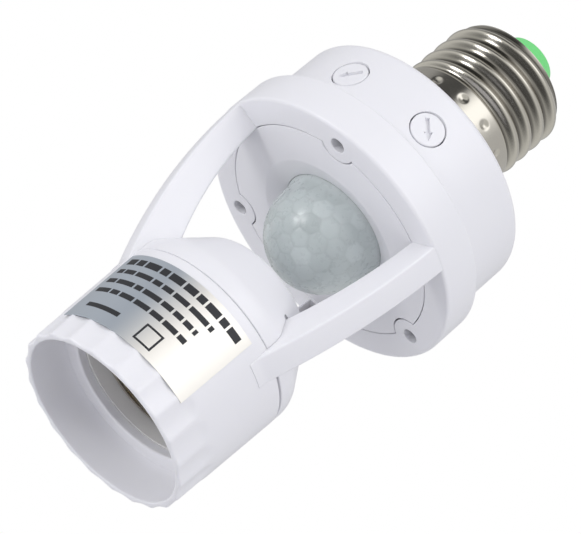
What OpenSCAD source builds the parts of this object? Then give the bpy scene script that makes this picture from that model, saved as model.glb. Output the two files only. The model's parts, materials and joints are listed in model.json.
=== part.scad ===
// Motion sensor lamp holder, E27 to E27. Millimetres.
// The axis is vertical, the socket mouth rests on z = 0 and the screw cap points up.

/* [Socket] */
// Outside radius of the socket sleeve at its mouth
sleeve_mouth_r = 18.7; // [17.8:0.1:24]
// How much wider the sleeve is at its seam than at the mouth
sleeve_flare = 0.5; // [0:0.1:1.5]
// Length of the sleeve from the mouth to the seam
sleeve_h = 25; // [24:0.5:34]
// Depth of the ledge that the lamp insert rests on
ledge_z = 8.5; // [6:0.5:12]
// Number of grip flutes round the mouth
flutes = 22; // [12:1:30]
// Length of each grip flute
flute_h = 8; // [4:0.5:14]
// Depth of each grip flute
flute_depth = 0.45; // [0.2:0.05:0.8]
// Height of the rear cap above the seam
rear_cap_h = 14; // [13:0.5:20]
// Radius of the flat top of the rear cap
rear_top_r = 11.8; // [9:0.1:13]

/* [Arms] */
// Clear height between the rear cap and the sensor face
window_h = 19.4; // [15:0.2:40]
// Width of each arm
arm_w = 5.3; // [4.4:0.1:7]
// Thickness of each arm where it leaves the drum
arm_t = 5.2; // [4.4:0.1:5.4]

/* [Sensor drum] */
// Outside radius of the front band
drum_r = 28.4; // [27.8:0.2:34]
// Height of the front band
band_h = 8.1; // [8:0.1:12]
// How far the back drum steps in from the band
back_step = 2.4; // [2.2:0.1:3.2]
// Height of the back drum
back_h = 14.7; // [14:0.5:24]
// Radius of the round at the back edge
back_round = 2.7; // [1:0.1:4]
// Wall thickness of the back drum
wall = 1.8; // [1.4:0.1:2.4]
// Radius of the neck under the screw cap
neck_r = 14.5; // [13.8:0.1:18]
// Height of the neck
neck_h = 5.6; // [3:0.1:12]

/* [Sensor] */
// Radius of the lens dome
dome_r = 10.7; // [9.5:0.1:12]
// Height of the straight part at the foot of the dome
dome_neck = 3; // [1:0.1:4]
// How much the dome widens towards its foot
dome_flare = 0.6; // [0.2:0.1:1.2]
// Outside radius of the bezel round the dome
bezel_r = 15.3; // [14:0.1:17]

/* [Knobs] */
// Diameter of the two setting knobs
knob_d = 6.5; // [5.5:0.1:7]
// Running gap round each knob
knob_gap = 0.25; // [0.15:0.05:0.5]
// Direction of the time knob, in degrees
time_angle = -70; // [-76:0.1:-64]
// Direction of the light level knob, in degrees
lux_angle = -111.3; // [-116:0.1:-106]

/* [Hidden] */
$fn = 96;
e = 0.01;

// Screw thread sizes of the 27 mm lamp cap and its socket
pitch = 3.629;
thread_depth = 1.1;
thread_arc = (pow(thread_depth, 2) + pow(pitch / 2, 2)) / (4 * thread_depth);
cap_crest_r = 13.15;
socket_crest_r = 13.35;
sheet = 0.4;
turns = 4;

// Sleeve and lamp insert
seam_r = sleeve_mouth_r + sleeve_flare;
mouth_bore_r = sleeve_mouth_r - 1.4;
insert_bore_r = sleeve_mouth_r - 1.8;
ledge_r = 14.3;
ledge_t = 1.8;
insert_z = ledge_z + ledge_t;
shoulder_z = sleeve_h - 5;
shell_z = insert_z + 0.8;
shell_thread_h = turns * pitch;
shell_floor_z = shell_z + shell_thread_h + 2.3;
base_floor_z = shell_floor_z + sheet;
base_top_z = base_floor_z + 1.6;
base_body_r = 14.9;

// Rear cap, upright at least as far as the insert needs
cap_wall = 1.7;
cap_drum_h = 3;
base_cover = 1.9;
cap_cone_z = max(sleeve_h + cap_drum_h, base_top_z - base_cover);
rear_top_z = cap_cone_z + rear_cap_h - cap_drum_h;
arm_meet_z = cap_cone_z + 5;
cone_run = (arm_meet_z - cap_cone_z) / (rear_top_z - cap_cone_z);
arm_meet_r = seam_r + (rear_top_r - seam_r) * cone_run;

// Heights of the drum
face_z = rear_top_z + window_h;
face_t = 1.8;
step_z = face_z + band_h;
back_z = step_z + back_h;
neck_z = back_z + neck_h;
arm_top_z = face_z + 5.1;

// Arms, each bounded by two arcs that leave the drum upright
arm_end_z = sleeve_h - 4.1;
arm_end_r = sleeve_mouth_r;
arm_root_r = drum_r - arm_t;
arm_core_r = 15.3;
function bow(rise, run) = (rise * rise + run * run) / (2 * run);
outer_bow = bow(arm_top_z - arm_end_z, drum_r - arm_end_r);
inner_bow = bow(arm_top_z - arm_meet_z, arm_root_r - arm_meet_r);

// Wires in two of the arms
wire_r = 0.7;
duct_r = 0.95;
duct_top_r = drum_r - 2.85;
duct_end_z = base_top_z + 1.25;
duct_end_r = (arm_meet_r + arm_end_r) / 2 + 1.8;
duct_bow = bow(arm_top_z - duct_end_z, duct_top_r - duct_end_r);
wire_top_z = face_z + 3.8;
duct_start = asin((arm_top_z - wire_top_z) / duct_bow);
duct_stop = asin((arm_top_z - duct_end_z) / duct_bow);
wire_top_r = duct_top_r - duct_bow * (1 - cos(duct_start));

// Drum
back_r = drum_r - back_step;
plug_r = back_r + 0.3;
band_bore_r = plug_r + 0.1;
ring_bore_r = drum_r - 5.45;
plate_r = ring_bore_r - 0.3;
screw_ring_r = drum_r - 4.1;
boss_r = 3.7;
boss_top_z = face_z + 4.8;
screw_seat_z = face_z + 3.4;
screw_head_h = 1.2;
screw_hole_r = 1.5;
screw_head_r = 1.35;
screw_shank_r = 0.85;
pilot_r = 0.7;
board_z = step_z;
board_t = 1.6;
board_top_z = board_z + board_t;
board_r = ring_bore_r + 0.1;
plug_z = face_z + 5.1;
pillar_r = 1.6;
pillar_ring_r = board_r - 4.4;
pillar_angle = -8;
wire_board_r = board_r - 1.2;

// Dome and sensor
dome_base_z = face_z + 1.4;
dome_c_z = dome_base_z - dome_neck;
dome_t = 0.7;
dome_foot_r = dome_r + dome_flare;
dome_bow = bow(dome_neck, dome_flare);
dome_flange_r = dome_foot_r + 1.2;
collar_z = face_z + 3.2;
clamp_z = dome_base_z + 1.2;
can_z = dome_c_z + 0.9;
can_h = 4.2;
can_r = 4.1;
can_flange_r = 4.6;
cell_r = 1.9;

// Knobs and trimmers
knob_r = knob_d / 2;
knob_z = board_top_z + 4.4;
knob_face_r = back_r - 0.1;
knob_t = 2.1;
arrow_l = 4.4;
arrow_w = 0.85;
arrow_head = 1.7;
arrow_depth = 0.35;
knob_back_r = knob_face_r - knob_t;
trimmer_front_r = knob_back_r - 0.4;
trimmer_d = 4.6;
stem_r = 1.2;

// Screw cap
cap_skirt_h = 7.2;
cap_skirt_r = cap_crest_r - 0.15;
thread_z = neck_z + cap_skirt_h + pitch / 2;
thread_top_z = neck_z + cap_skirt_h + turns * pitch;
cap_rim_z = thread_top_z + 1.1;
cap_rim_r = 11.3;
cap_root_r = cap_crest_r - thread_depth;
cap_plug_h = 4.6;
dents = 13;
dent_z = neck_z + 3.9;
insulator_r = 10.3;
contact_r = 4.4;
nose_r = contact_r + 0.9;
nose_z = cap_rim_z + 6.2;
tip_z = nose_z + 0.9;
neutral_z = thread_z + pitch / 2;

// Removes the outer corner of a square, leaving a round of radius r
module corner(r) {
    difference() {
        square([r + 1, r + 1]);
        circle(r);
    }
}

// Plane figure inside a knuckle thread, moved outward by grow
module thread_profile(crest_r, z_first, grow = 0) {
    crest_c = crest_r - thread_arc;
    root_c = crest_r - thread_depth + thread_arc;
    crest_arc = thread_arc + grow;
    flank_r = crest_c + (root_c - crest_c) * crest_arc / (2 * thread_arc);
    difference() {
        union() {
            translate([0, z_first - pitch / 2]) square([flank_r, turns * pitch]);
            for (k = [0 : turns - 1])
                translate([crest_c, z_first + k * pitch]) circle(crest_arc);
        }
        for (k = [0 : turns])
            translate([root_c, z_first + (k - 0.5) * pitch]) circle(thread_arc - grow);
    }
}

module at_arms(which = [0 : 2]) {
    for (i = which) rotate([0, 0, 90 + 120 * i]) children();
}

module at_screws() {
    for (i = [0 : 2]) rotate([0, 0, 30 + 120 * i]) translate([screw_ring_r, 0, 0]) children();
}

// One arm seen from the side, with x as radius and y as height
module arm_side() {
    intersection() {
        difference() {
            translate([drum_r - outer_bow, arm_top_z]) circle(outer_bow, $fn = 200);
            translate([arm_root_r - inner_bow, arm_top_z]) circle(inner_bow, $fn = 200);
        }
        polygon([
            [insert_bore_r + 0.3, arm_end_z - 3],
            [drum_r + 1, arm_end_z - 3],
            [drum_r + 1, face_z + face_t],
            [arm_root_r - 1, face_z + face_t],
            [arm_core_r, arm_meet_z + 1],
            [arm_core_r, sleeve_h + 0.1],
            [insert_bore_r + 0.3, sleeve_h + 0.1]
        ]);
    }
}

// Curved path of a wire or its duct inside an arm
module arm_path(r) {
    rotate([90, 0, 0])
        translate([duct_top_r - duct_bow, arm_top_z, 0])
            rotate([0, 0, -duct_stop])
                rotate_extrude(angle = duct_stop - duct_start)
                    translate([duct_bow, 0]) circle(r);
    translate([duct_end_r, 0, duct_end_z]) sphere(r + 0.04);
    translate([wire_top_r, 0, wire_top_z]) sphere(r + 0.04);
}

// Cylinder along x from one radius to another
module spoke(r, from, to, z) {
    translate([from, 0, z]) rotate([0, 90, 0]) cylinder(r = r, h = to - from);
}

// Front band with its face ring, cut across
module band_profile() {
    difference() {
        translate([ring_bore_r, face_z]) square([drum_r - ring_bore_r, band_h]);
        translate([ring_bore_r - 1, face_z + face_t])
            square([band_bore_r - ring_bore_r + 1, band_h]);
        translate([drum_r - 0.7, face_z + 0.7]) mirror([0, 1]) corner(0.7);
        translate([drum_r - 1.5, step_z - 1.5]) corner(1.5);
    }
}

// Socket sleeve, cut across
module sleeve_profile() {
    polygon([
        [mouth_bore_r, 0], [sleeve_mouth_r, 0], [seam_r, sleeve_h],
        [insert_bore_r, sleeve_h], [insert_bore_r, insert_z],
        [ledge_r, insert_z], [ledge_r, ledge_z],
        [mouth_bore_r - 0.8, ledge_z], [mouth_bore_r - 0.8, 4], [mouth_bore_r, 4]
    ]);
}

// Grip flute with a round end, kept clear of its neighbours
module flute() {
    flute_r = 6;
    run_out = sqrt(2 * flute_r * flute_depth);
    side = 2 * sin(180 / flutes) * sleeve_mouth_r - 0.2;
    intersection() {
        translate([sleeve_mouth_r + flute_r - flute_depth, 0, 0]) {
            translate([0, 0, -1]) cylinder(r = flute_r, h = flute_h - run_out + 1);
            translate([0, 0, flute_h - run_out]) sphere(flute_r + 0.02);
        }
        translate([sleeve_mouth_r - 2, -side / 2, -0.5]) cube([3.2, side, flute_h + 1]);
    }
}

// Band, three arms and the socket sleeve, moulded in one
module arm_frame() {
    color("#f2f2f6") difference() {
        union() {
            rotate_extrude() band_profile();
            rotate_extrude() sleeve_profile();
            at_arms() rotate([90, 0, 0])
                linear_extrude(height = arm_w, center = true) arm_side();
            at_screws() translate([0, 0, face_z]) cylinder(r = boss_r, h = boss_top_z - face_z);
        }
        for (i = [0 : flutes - 1]) rotate([0, 0, (i + 0.5) * 360 / flutes]) flute();
        at_screws() {
            translate([0, 0, face_z - 1]) cylinder(r = screw_hole_r, h = screw_seat_z - face_z + 1);
            translate([0, 0, face_z - 1]) cylinder(r = screw_shank_r + 0.15, h = 8);
        }
        at_arms([0 : 1]) {
            arm_path(duct_r);
            spoke(duct_r, arm_core_r - 2, duct_end_r, duct_end_z);
        }
    }
}

// Back drum with neck, cut across
module housing_profile() {
    difference() {
        union() {
            translate([0, plug_z]) square([plug_r, step_z - plug_z]);
            translate([0, step_z - e]) square([back_r, back_h + e]);
            translate([0, back_z - e]) square([neck_r, neck_h + e]);
            translate([0, neck_z - e]) square([cap_skirt_r - sheet - 0.05, cap_plug_h + e]);
        }
        translate([back_r - back_round, back_z - back_round]) corner_out(back_round);
        translate([-1, plug_z - 1]) square([back_r - wall + 1, back_z - 2 - plug_z + 1]);
        translate([-1, plug_z]) square([9, neck_z + cap_plug_h - plug_z + 1]);
    }
}

// Rounds the back edge without touching the neck beside it
module corner_out(r) {
    intersection() {
        corner(r);
        square([r + 1, r]);
    }
}

// Back drum, knob bores, neck and the plug that carries the screw cap
module rear_housing() {
    color("#f0f0f5") difference() {
        union() {
            rotate_extrude() housing_profile();
            intersection() {
                at_screws() translate([0, 0, boss_top_z])
                    cylinder(r = 2.8, h = board_top_z - 0.1 - boss_top_z);
                cylinder(r = back_r - 0.2, h = board_top_z);
            }
            at_arms() translate([board_r - 1.4, -1, board_top_z])
                cube([back_r - wall - board_r + 1.9, 2, back_z - 1 - board_top_z]);
        }
        at_screws() translate([0, 0, boss_top_z - 1]) cylinder(r = pilot_r, h = 4.6);
        for (a = [time_angle, lux_angle]) rotate([0, 0, a])
            spoke(knob_r + knob_gap, back_r - wall - 3, back_r + 1, knob_z);
    }
}

// Inner face plate with the bezel, notched round the three screw bosses
module sensor_plate() {
    color("#f2f2f6") difference() {
        union() {
            translate([0, 0, face_z]) cylinder(r = plate_r, h = face_t + 0.1);
            translate([0, 0, face_z + face_t + 0.05]) cylinder(r = plate_r + 1.3, h = 1);
            translate([0, 0, face_z + 1]) cylinder(r = dome_flange_r + 2.2, h = collar_z - face_z - 1);
            for (i = [0 : 2]) rotate([0, 0, 120 * i + pillar_angle]) translate([pillar_ring_r, 0, face_z + 1])
                cylinder(r = pillar_r, h = board_z - face_z - 1);
        }
        translate([0, 0, face_z - e])
            cylinder(r1 = bezel_r, r2 = dome_foot_r + 0.3, h = dome_base_z - face_z + e);
        translate([0, 0, face_z]) cylinder(r = dome_foot_r + 0.1, h = 5);
        translate([0, 0, dome_base_z + 0.4]) cylinder(r = dome_flange_r, h = 5);
        at_screws() translate([0, 0, face_z - 1]) cylinder(r = boss_r + 0.3, h = 5);
    }
}

// Hollow dome with a foot that flares, and a flange behind the bezel
module lens_dome() {
    color("#cdd6d2") rotate_extrude() difference() {
        union() {
            intersection() {
                translate([0, dome_c_z]) circle(dome_r);
                translate([0, dome_c_z - dome_r - 1]) square([dome_r + 1, dome_r + 1]);
            }
            difference() {
                translate([0, dome_c_z - e]) square([dome_foot_r, dome_neck + e]);
                translate([dome_r + dome_bow, dome_c_z]) circle(dome_bow);
            }
            translate([0, dome_base_z - e]) square([dome_foot_r, 0.6]);
            translate([0, dome_base_z + 0.4]) square([dome_flange_r - 0.1, 0.8]);
        }
        translate([0, dome_c_z]) circle(dome_r - dome_t);
        translate([-1, dome_c_z - e]) square([dome_r - dome_t + 1, 6]);
        translate([-2 * dome_r, dome_c_z - 2 * dome_r]) square([2 * dome_r, 4 * dome_r]);
    }
}

// Snap ring that holds the dome flange down
module lens_clamp() {
    color("#e9e9ee") rotate_extrude() translate([dome_r - dome_t, clamp_z])
        square([dome_flange_r - dome_r + dome_t, collar_z - clamp_z]);
}

// Three tapping screws that pull the back drum onto the frame
module frame_screws() {
    color("#b9b9b4") at_screws() difference() {
        union() {
            translate([0, 0, screw_seat_z - screw_head_h]) {
                cylinder(r = screw_head_r, h = screw_head_h);
                cylinder(r = screw_shank_r, h = boss_top_z - screw_seat_z + screw_head_h);
            }
            translate([0, 0, boss_top_z - e]) cylinder(r = pilot_r, h = 3.4);
        }
        translate([-0.25, -1.5, screw_seat_z - screw_head_h - 0.3]) cube([0.5, 3, 0.8]);
        translate([-1.5, -0.25, screw_seat_z - screw_head_h - 0.3]) cube([3, 0.5, 0.8]);
    }
}

// Setting knob with an arrow slot and a stem, pointing along x
module knob(turn) {
    difference() {
        union() {
            spoke(knob_r, knob_back_r, knob_face_r, 0);
            spoke(stem_r, trimmer_front_r - 2, knob_back_r + e, 0);
        }
        translate([knob_face_r - arrow_depth, 0, 0]) rotate([0, 90, 0]) rotate([0, 0, turn])
            linear_extrude(height = 1) polygon([
                [-arrow_l / 2, -arrow_w / 2], [arrow_l / 2 - arrow_head, -arrow_w / 2],
                [arrow_l / 2 - arrow_head, -arrow_head / 2], [arrow_l / 2, 0],
                [arrow_l / 2 - arrow_head, arrow_head / 2], [arrow_l / 2 - arrow_head, arrow_w / 2],
                [-arrow_l / 2, arrow_w / 2]
            ]);
    }
}

module time_knob() {
    color("#e8e8ee") rotate([0, 0, time_angle]) translate([0, 0, knob_z]) knob(47);
}

module lux_knob() {
    color("#e8e8ee") rotate([0, 0, lux_angle]) translate([0, 0, knob_z]) knob(-48);
}

// Trimmer resistor standing at the board edge, bored for the knob stem
module trimmer() {
    back = trimmer_front_r - trimmer_d;
    difference() {
        union() {
            translate([back, -3.25, board_top_z]) cube([trimmer_d, 6.5, knob_z + 3.25 - board_top_z]);
            for (s = [-1, 1]) translate([back + 1.2, 2.2 * s, board_z - 1.2])
                cylinder(r = 0.4, h = board_t + 1.5);
        }
        spoke(stem_r + 0.12, trimmer_front_r - 2.6, trimmer_front_r + 1, knob_z);
    }
}

module time_trimmer() { color("#3d6fb0") rotate([0, 0, time_angle]) trimmer(); }

module lux_trimmer() { color("#3d6fb0") rotate([0, 0, lux_angle]) trimmer(); }

// Round board, notched for the screw bosses and bored for the parts that pass through
module circuit_board() {
    color("#b9924a") difference() {
        translate([0, 0, board_z]) cylinder(r = board_r, h = board_t);
        at_screws() translate([0, 0, board_z - 1]) cylinder(r = 3.1, h = 4);
        for (a = [time_angle, lux_angle], s = [-1, 1]) rotate([0, 0, a])
            translate([trimmer_front_r - trimmer_d + 1.2, 2.2 * s, board_z - 1]) cylinder(r = 0.45, h = 4);
    }
}

// Metal can of the infrared detector, with its window facing the dome
module pir_sensor() {
    color("#b4b3ab") difference() {
        union() {
            translate([0, 0, can_z]) cylinder(r = can_r, h = can_h);
            translate([0, 0, can_z + can_h - 0.6]) cylinder(r = can_flange_r, h = 0.6);
        }
        translate([-2, -1.5, can_z - 0.1]) cube([4, 3, 0.5]);
    }
}

// Spacer between the detector and the board
module pir_holder() {
    color("#2c2c2e") difference() {
        translate([0, 0, can_z + can_h]) cylinder(r = can_flange_r, h = board_z - can_z - can_h);
        translate([0, 0, can_z + can_h - 1]) cylinder(r = 3.2, h = board_z - can_z);
    }
}

// Light dependent resistor beside the detector
module light_cell() {
    color("#c96a43") translate([0, dome_r - dome_t - 0.7 - cell_r, 0]) {
        translate([0, 0, dome_base_z]) cylinder(r = cell_r, h = 1.8);
        for (s = [-1, 1]) translate([1.1 * s, 0, dome_base_z + 1.7])
            cylinder(r = 0.25, h = board_z - dome_base_z - 1.7);
    }
}

// Sixteen pin control chip on the face side of the board
module control_chip() {
    long = 9.9;
    broad = 3.9;
    lead_pitch = 1.27;
    color("#26262a") translate([0, -can_flange_r - broad / 2 - 3, board_z]) {
        translate([-long / 2, -broad / 2, -1.6]) cube([long, broad, 1.5]);
        for (i = [0 : 7], s = [-1, 1]) translate([(i - 3.5) * lead_pitch - 0.2, s * 2.45 - 0.6, -0.6])
            cube([0.4, 1.2, 0.6]);
    }
}

// Lamp switching relay
module relay() {
    long = 12.6;
    color("#2f62a8") translate([4.45 - board_r, -4.9, board_top_z])
        cube([long, 10.2, back_z - 3.2 - board_top_z]);
}

// Mains dropper capacitor
module film_capacitor() {
    long = 13;
    thick = 6;
    color("#c8a22c") translate([-long / 2, board_r - 5.65 - thick, board_top_z]) cube([long, thick, 10]);
}

// Smoothing capacitor standing on the board, with its stamped end
module smoothing_capacitor() {
    body_r = 4;
    body_h = back_z - 3.4 - board_top_z;
    color("#303a52") translate([board_r - 5.45 - body_r, 0, board_top_z]) difference() {
        cylinder(r = body_r, h = body_h);
        translate([0, 0, body_h - 0.4]) cylinder(r = body_r - 1.1, h = 1);
    }
}

module bridge_rectifier() {
    long = 8.4;
    color("#222226") translate([board_r - 6.25 - long, -10.8, board_top_z]) cube([long, 4.2, 3.2]);
}

// Resistor lying on the board
module dropper_resistor() {
    long = 9;
    body_r = 1.6;
    lead_r = 0.3;
    color("#8aa6b4") translate([-8, -8.4, board_top_z + body_r]) {
        rotate([0, 90, 0]) cylinder(r = body_r, h = long);
        for (x = [-1, long + 1]) translate([x, 0, -body_r]) cylinder(r = lead_r, h = body_r);
        translate([-1, 0, 0]) rotate([0, 90, 0]) cylinder(r = lead_r, h = long + 2);
    }
}

// Threaded shell of the screw cap, crimped onto the neck plug
module cap_shell() {
    color("#c9c6be") difference() {
        rotate_extrude() difference() {
            cap_outline(0);
            cap_outline(-sheet);
        }
        for (i = [0 : dents - 1]) rotate([0, 0, (i + 0.25) * 360 / dents])
            translate([cap_skirt_r + 2.9, 0, dent_z]) sphere(3.1);
    }
}

// Plane figure inside the cap shell, moved outward by grow
module cap_outline(grow) {
    skirt_top_z = thread_z - pitch / 2;
    difference() {
        translate([0, neck_z + (grow < 0 ? -1 : 0)])
            square([cap_skirt_r + grow, cap_skirt_h + (grow < 0 ? 1 : 0)]);
        translate([cap_root_r + thread_arc, skirt_top_z]) circle(thread_arc - grow);
    }
    thread_profile(cap_crest_r, thread_z, grow);
    translate([0, thread_top_z - e]) square([cap_root_r + grow, 0.8]);
    polygon([
        [0, thread_top_z + 0.7], [cap_root_r + grow, thread_top_z + 0.7],
        [cap_rim_r + grow, cap_rim_z + (grow < 0 ? 1 : 0)], [0, cap_rim_z + (grow < 0 ? 1 : 0)]
    ]);
}

// Green insulator that closes the shell
module cap_insulator() {
    color("#5fbf73") rotate_extrude() difference() {
        polygon([
            [0, thread_top_z - 1], [cap_rim_r - sheet - 1.2, thread_top_z - 1],
            [insulator_r, cap_rim_z], [nose_r + 1.2, cap_rim_z + 2.2],
            [nose_r, nose_z - 0.4], [nose_r - 0.4, nose_z], [0, nose_z]
        ]);
        translate([-1, thread_top_z - 2]) square([2, nose_z - thread_top_z + 3]);
    }
}

// Centre contact, a shallow domed button
module cap_contact() {
    color("#c2bfb6") rotate_extrude() {
        intersection() {
            translate([0, tip_z - 10.4]) circle(10.4);
            translate([0, nose_z]) square([contact_r, 2]);
        }
    }
}

module cap_live_wire() {
    color("#7d4a2b") translate([0, 0, board_top_z]) cylinder(r = wire_r, h = nose_z - board_top_z);
}

// Wire from the board to the inside of the cap shell
module cap_neutral_wire() {
    color("#3b6fb5") rotate([0, 0, 270]) {
        translate([5, 0, board_top_z]) cylinder(r = wire_r, h = neutral_z - board_top_z);
        translate([5, 0, neutral_z]) sphere(wire_r + 0.04);
        spoke(wire_r, 5, cap_root_r - sheet, neutral_z);
    }
}

// Rear cap of the lamp socket, notched for the arms
module socket_rear_cap() {
    top_round = 1.2;
    color("#f2f2f6") difference() {
        rotate_extrude() difference() {
            union() {
                translate([0, sleeve_h]) square([seam_r, cap_cone_z - sleeve_h]);
                polygon([
                    [0, cap_cone_z - e], [seam_r, cap_cone_z - e],
                    [rear_top_r + 0.4, rear_top_z - 1], [rear_top_r - 0.6, rear_top_z], [0, rear_top_z]
                ]);
                translate([0, shoulder_z + 0.05]) square([insert_bore_r - 0.1, sleeve_h - shoulder_z]);
            }
            polygon([
                [-1, shoulder_z - 1], [base_body_r + 0.2, shoulder_z - 1],
                [base_body_r + 0.2, base_top_z + 0.2], [rear_top_r - cap_wall - 0.2, rear_top_z - cap_wall],
                [-1, rear_top_z - cap_wall]
            ]);
            translate([seam_r - 1.2, cap_cone_z - 1.2]) intersection() { corner(1.2); square([3, 1.2]); }
        }
        at_arms() translate([arm_core_r - 0.1, -arm_w / 2 - 0.1, sleeve_h - e])
            cube([seam_r, arm_w + 0.2, arm_meet_z + 0.4 - sleeve_h]);
        at_arms([0 : 1]) spoke(duct_r, arm_core_r - 3.5, arm_core_r + 1, duct_end_z);
    }
}

// Insulating cup that carries the threaded shell
module socket_base() {
    color("#e6e6e2") difference() {
        rotate_extrude() difference() {
            union() {
                translate([0, insert_z + 0.05]) square([insert_bore_r - 0.1, shoulder_z - insert_z - 0.05]);
                translate([0, shoulder_z - 1]) square([base_body_r, base_top_z - shoulder_z + 1]);
            }
            translate([-1, insert_z - 1]) square([socket_crest_r + sheet + 1.2, base_floor_z - insert_z + 1]);
        }
        rivet_places(0) cylinder(r = 1.25, h = 30);
        rivet_places(1) cylinder(r = 1.25, h = 30);
    }
}

// Foot of the live rivet, or of the shell rivet
module rivet_places(which) {
    if (which == 0) rotate([0, 0, 90]) translate([5, 0, base_floor_z - 2]) children();
    if (which == 1) rotate([0, 0, 210]) translate([9.6, 0, base_floor_z - 2]) children();
}

// Threaded socket shell with an open floor
module socket_shell() {
    z_first = shell_z + pitch / 2;
    top_z = shell_z + shell_thread_h;
    root_r = socket_crest_r - thread_depth;
    color("#c4b07a") difference() {
        rotate_extrude() difference() {
            union() {
                thread_profile(socket_crest_r, z_first, sheet);
                translate([0, top_z - e]) square([root_r + sheet, base_floor_z - top_z + e]);
            }
            thread_profile(socket_crest_r, z_first);
            translate([0, shell_z - 1]) square([root_r - 0.2, 2]);
            translate([0, top_z - 2 * e]) square([root_r, shell_floor_z - top_z + 2 * e]);
            translate([0, top_z]) square([7.6, 6]);
        }
        rivet_places(1) cylinder(r = 1.2, h = 6);
    }
}

// Sprung centre tongue, one bent strip
module socket_tongue() {
    z = base_floor_z;
    color("#c9a85a") rotate([0, 0, 90]) rotate([90, 0, 0]) difference() {
        linear_extrude(height = 5, center = true) polygon([
            [7, z], [7, z - 0.5], [2.9, z - 0.5], [-1.2, z - 3.3], [-3, z - 2.6],
            [-3, z - 2.1], [-1.1, z - 2.75], [2.7, z]
        ]);
        translate([5, z + 1, 0]) rotate([90, 0, 0]) cylinder(r = 1.2, h = 3);
    }
}

// Rivets that join the contacts to the base and take the wires
module tongue_rivet() {
    color("#c9a85a") rivet_places(0) {
        translate([0, 0, 0.9]) cylinder(r = 1.9, h = 0.6);
        translate([0, 0, 1.4]) cylinder(r = 1.2, h = 2.3);
        translate([0, 0, 3.6]) cylinder(r = 2, h = 2.2);
    }
}

module shell_rivet() {
    color("#c9a85a") rivet_places(1) {
        translate([0, 0, 1.1]) cylinder(r = 1.7, h = 0.5);
        translate([0, 0, 1.5]) cylinder(r = 1.2, h = 2.2);
        translate([0, 0, 3.6]) cylinder(r = 2, h = 2.2);
    }
}

// Wire from the board, down through an arm, to a rivet at radius stop
module lamp_wire(stop) {
    arm_path(wire_r);
    spoke(wire_r, wire_board_r, wire_top_r, wire_top_z);
    translate([wire_board_r, 0, wire_top_z]) sphere(wire_r + 0.04);
    translate([wire_board_r, 0, wire_top_z]) cylinder(r = wire_r, h = board_z - wire_top_z);
    spoke(wire_r, stop, duct_end_r, duct_end_z);
}

module lamp_live_wire() { color("#7d4a2b") at_arms([0]) lamp_wire(7); }

module lamp_neutral_wire() { color("#3b6fb5") at_arms([1]) lamp_wire(11.6); }

// Bare foil label wrapped on the sleeve
module rating_label() {
    low = 5.5;
    high = sleeve_h - 2.3;
    function at(z) = sleeve_mouth_r + sleeve_flare * z / sleeve_h;
    color("#b8bcc4") rotate([0, 0, -140]) rotate_extrude(angle = 94) polygon([
        [at(low), low], [at(low) + 0.1, low], [at(high) + 0.1, high], [at(high), high]
    ]);
}

arm_frame();
rear_housing();
sensor_plate();
lens_dome();
lens_clamp();
frame_screws();
time_knob();
lux_knob();
time_trimmer();
lux_trimmer();
circuit_board();
pir_sensor();
pir_holder();
light_cell();
control_chip();
relay();
film_capacitor();
smoothing_capacitor();
bridge_rectifier();
dropper_resistor();
cap_shell();
cap_insulator();
cap_contact();
cap_live_wire();
cap_neutral_wire();
socket_rear_cap();
socket_base();
socket_shell();
socket_tongue();
tongue_rivet();
shell_rivet();
lamp_live_wire();
lamp_neutral_wire();
rating_label();
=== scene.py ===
"""Looks of the motion sensor lamp holder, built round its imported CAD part.

The row frame is used as it is: the axis is vertical, the socket mouth is on z = 0
and the screw cap points up. Sizes of the pieces are in millimetres and directions
are in degrees, unless a line says otherwise.
"""

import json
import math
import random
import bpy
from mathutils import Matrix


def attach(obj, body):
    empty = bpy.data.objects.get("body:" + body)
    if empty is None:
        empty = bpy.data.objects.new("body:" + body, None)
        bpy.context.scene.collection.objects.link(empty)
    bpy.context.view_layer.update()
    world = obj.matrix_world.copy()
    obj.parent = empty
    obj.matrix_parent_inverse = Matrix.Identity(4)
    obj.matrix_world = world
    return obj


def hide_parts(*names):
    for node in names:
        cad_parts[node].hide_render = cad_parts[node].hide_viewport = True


bl_info = {
    "name": "Motion Sensor Lamp Holder",
    "version": (1, 0, 0),
    "blender": (4, 5, 0),
    "location": "View3D > Sidebar > Lamp Holder",
    "description": "Builds the looks, materials and studio of a motion sensor lamp holder",
    "category": "Add Mesh",
}

import bmesh
import bpy
import numpy as np
from bpy.props import FloatProperty, IntProperty, PointerProperty, StringProperty
from mathutils import Matrix, Vector

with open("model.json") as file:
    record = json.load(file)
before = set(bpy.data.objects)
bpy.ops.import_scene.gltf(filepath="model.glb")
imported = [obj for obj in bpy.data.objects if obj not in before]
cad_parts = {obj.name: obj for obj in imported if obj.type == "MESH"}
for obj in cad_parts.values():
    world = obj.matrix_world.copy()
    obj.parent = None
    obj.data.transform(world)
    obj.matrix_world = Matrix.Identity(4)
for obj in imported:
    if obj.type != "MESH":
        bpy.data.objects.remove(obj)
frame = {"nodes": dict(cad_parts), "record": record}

MM = 0.001

# Directions of the three arms, and of the three screws between them
ARM_TURNS = (90, 210, 330)
SCREW_TURNS = (30, 150, 270)

# Knuckle thread of the screw cap and of the socket's shell
PITCH = 3.629
TURNS = 4
THREAD_DEPTH = 1.1

# Screw cap: skirt below the thread with its ring of dents, and turned-in rim above it
SKIRT_H = 7.2
DENTS = 13
RIM_H = 1.1

# Screw wells in the face: distance in from the band's radius, radii of well and mouth, depth of the seat
SCREW_INSET = 4.1
WELL_R = 1.5
WELL_MOUTH_R = 1.62
SCREW_SEAT = 3.4

# Radius and height of the bosses that hold the wells
BOSS_R = 3.7
BOSS_H = 4.8

# Thickness of the face ring and of the sensor plate inside it, and height of the lens's seat
FACE_T = 1.8
PLATE_T = 1.7
LENS_SEAT = 1.4

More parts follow.
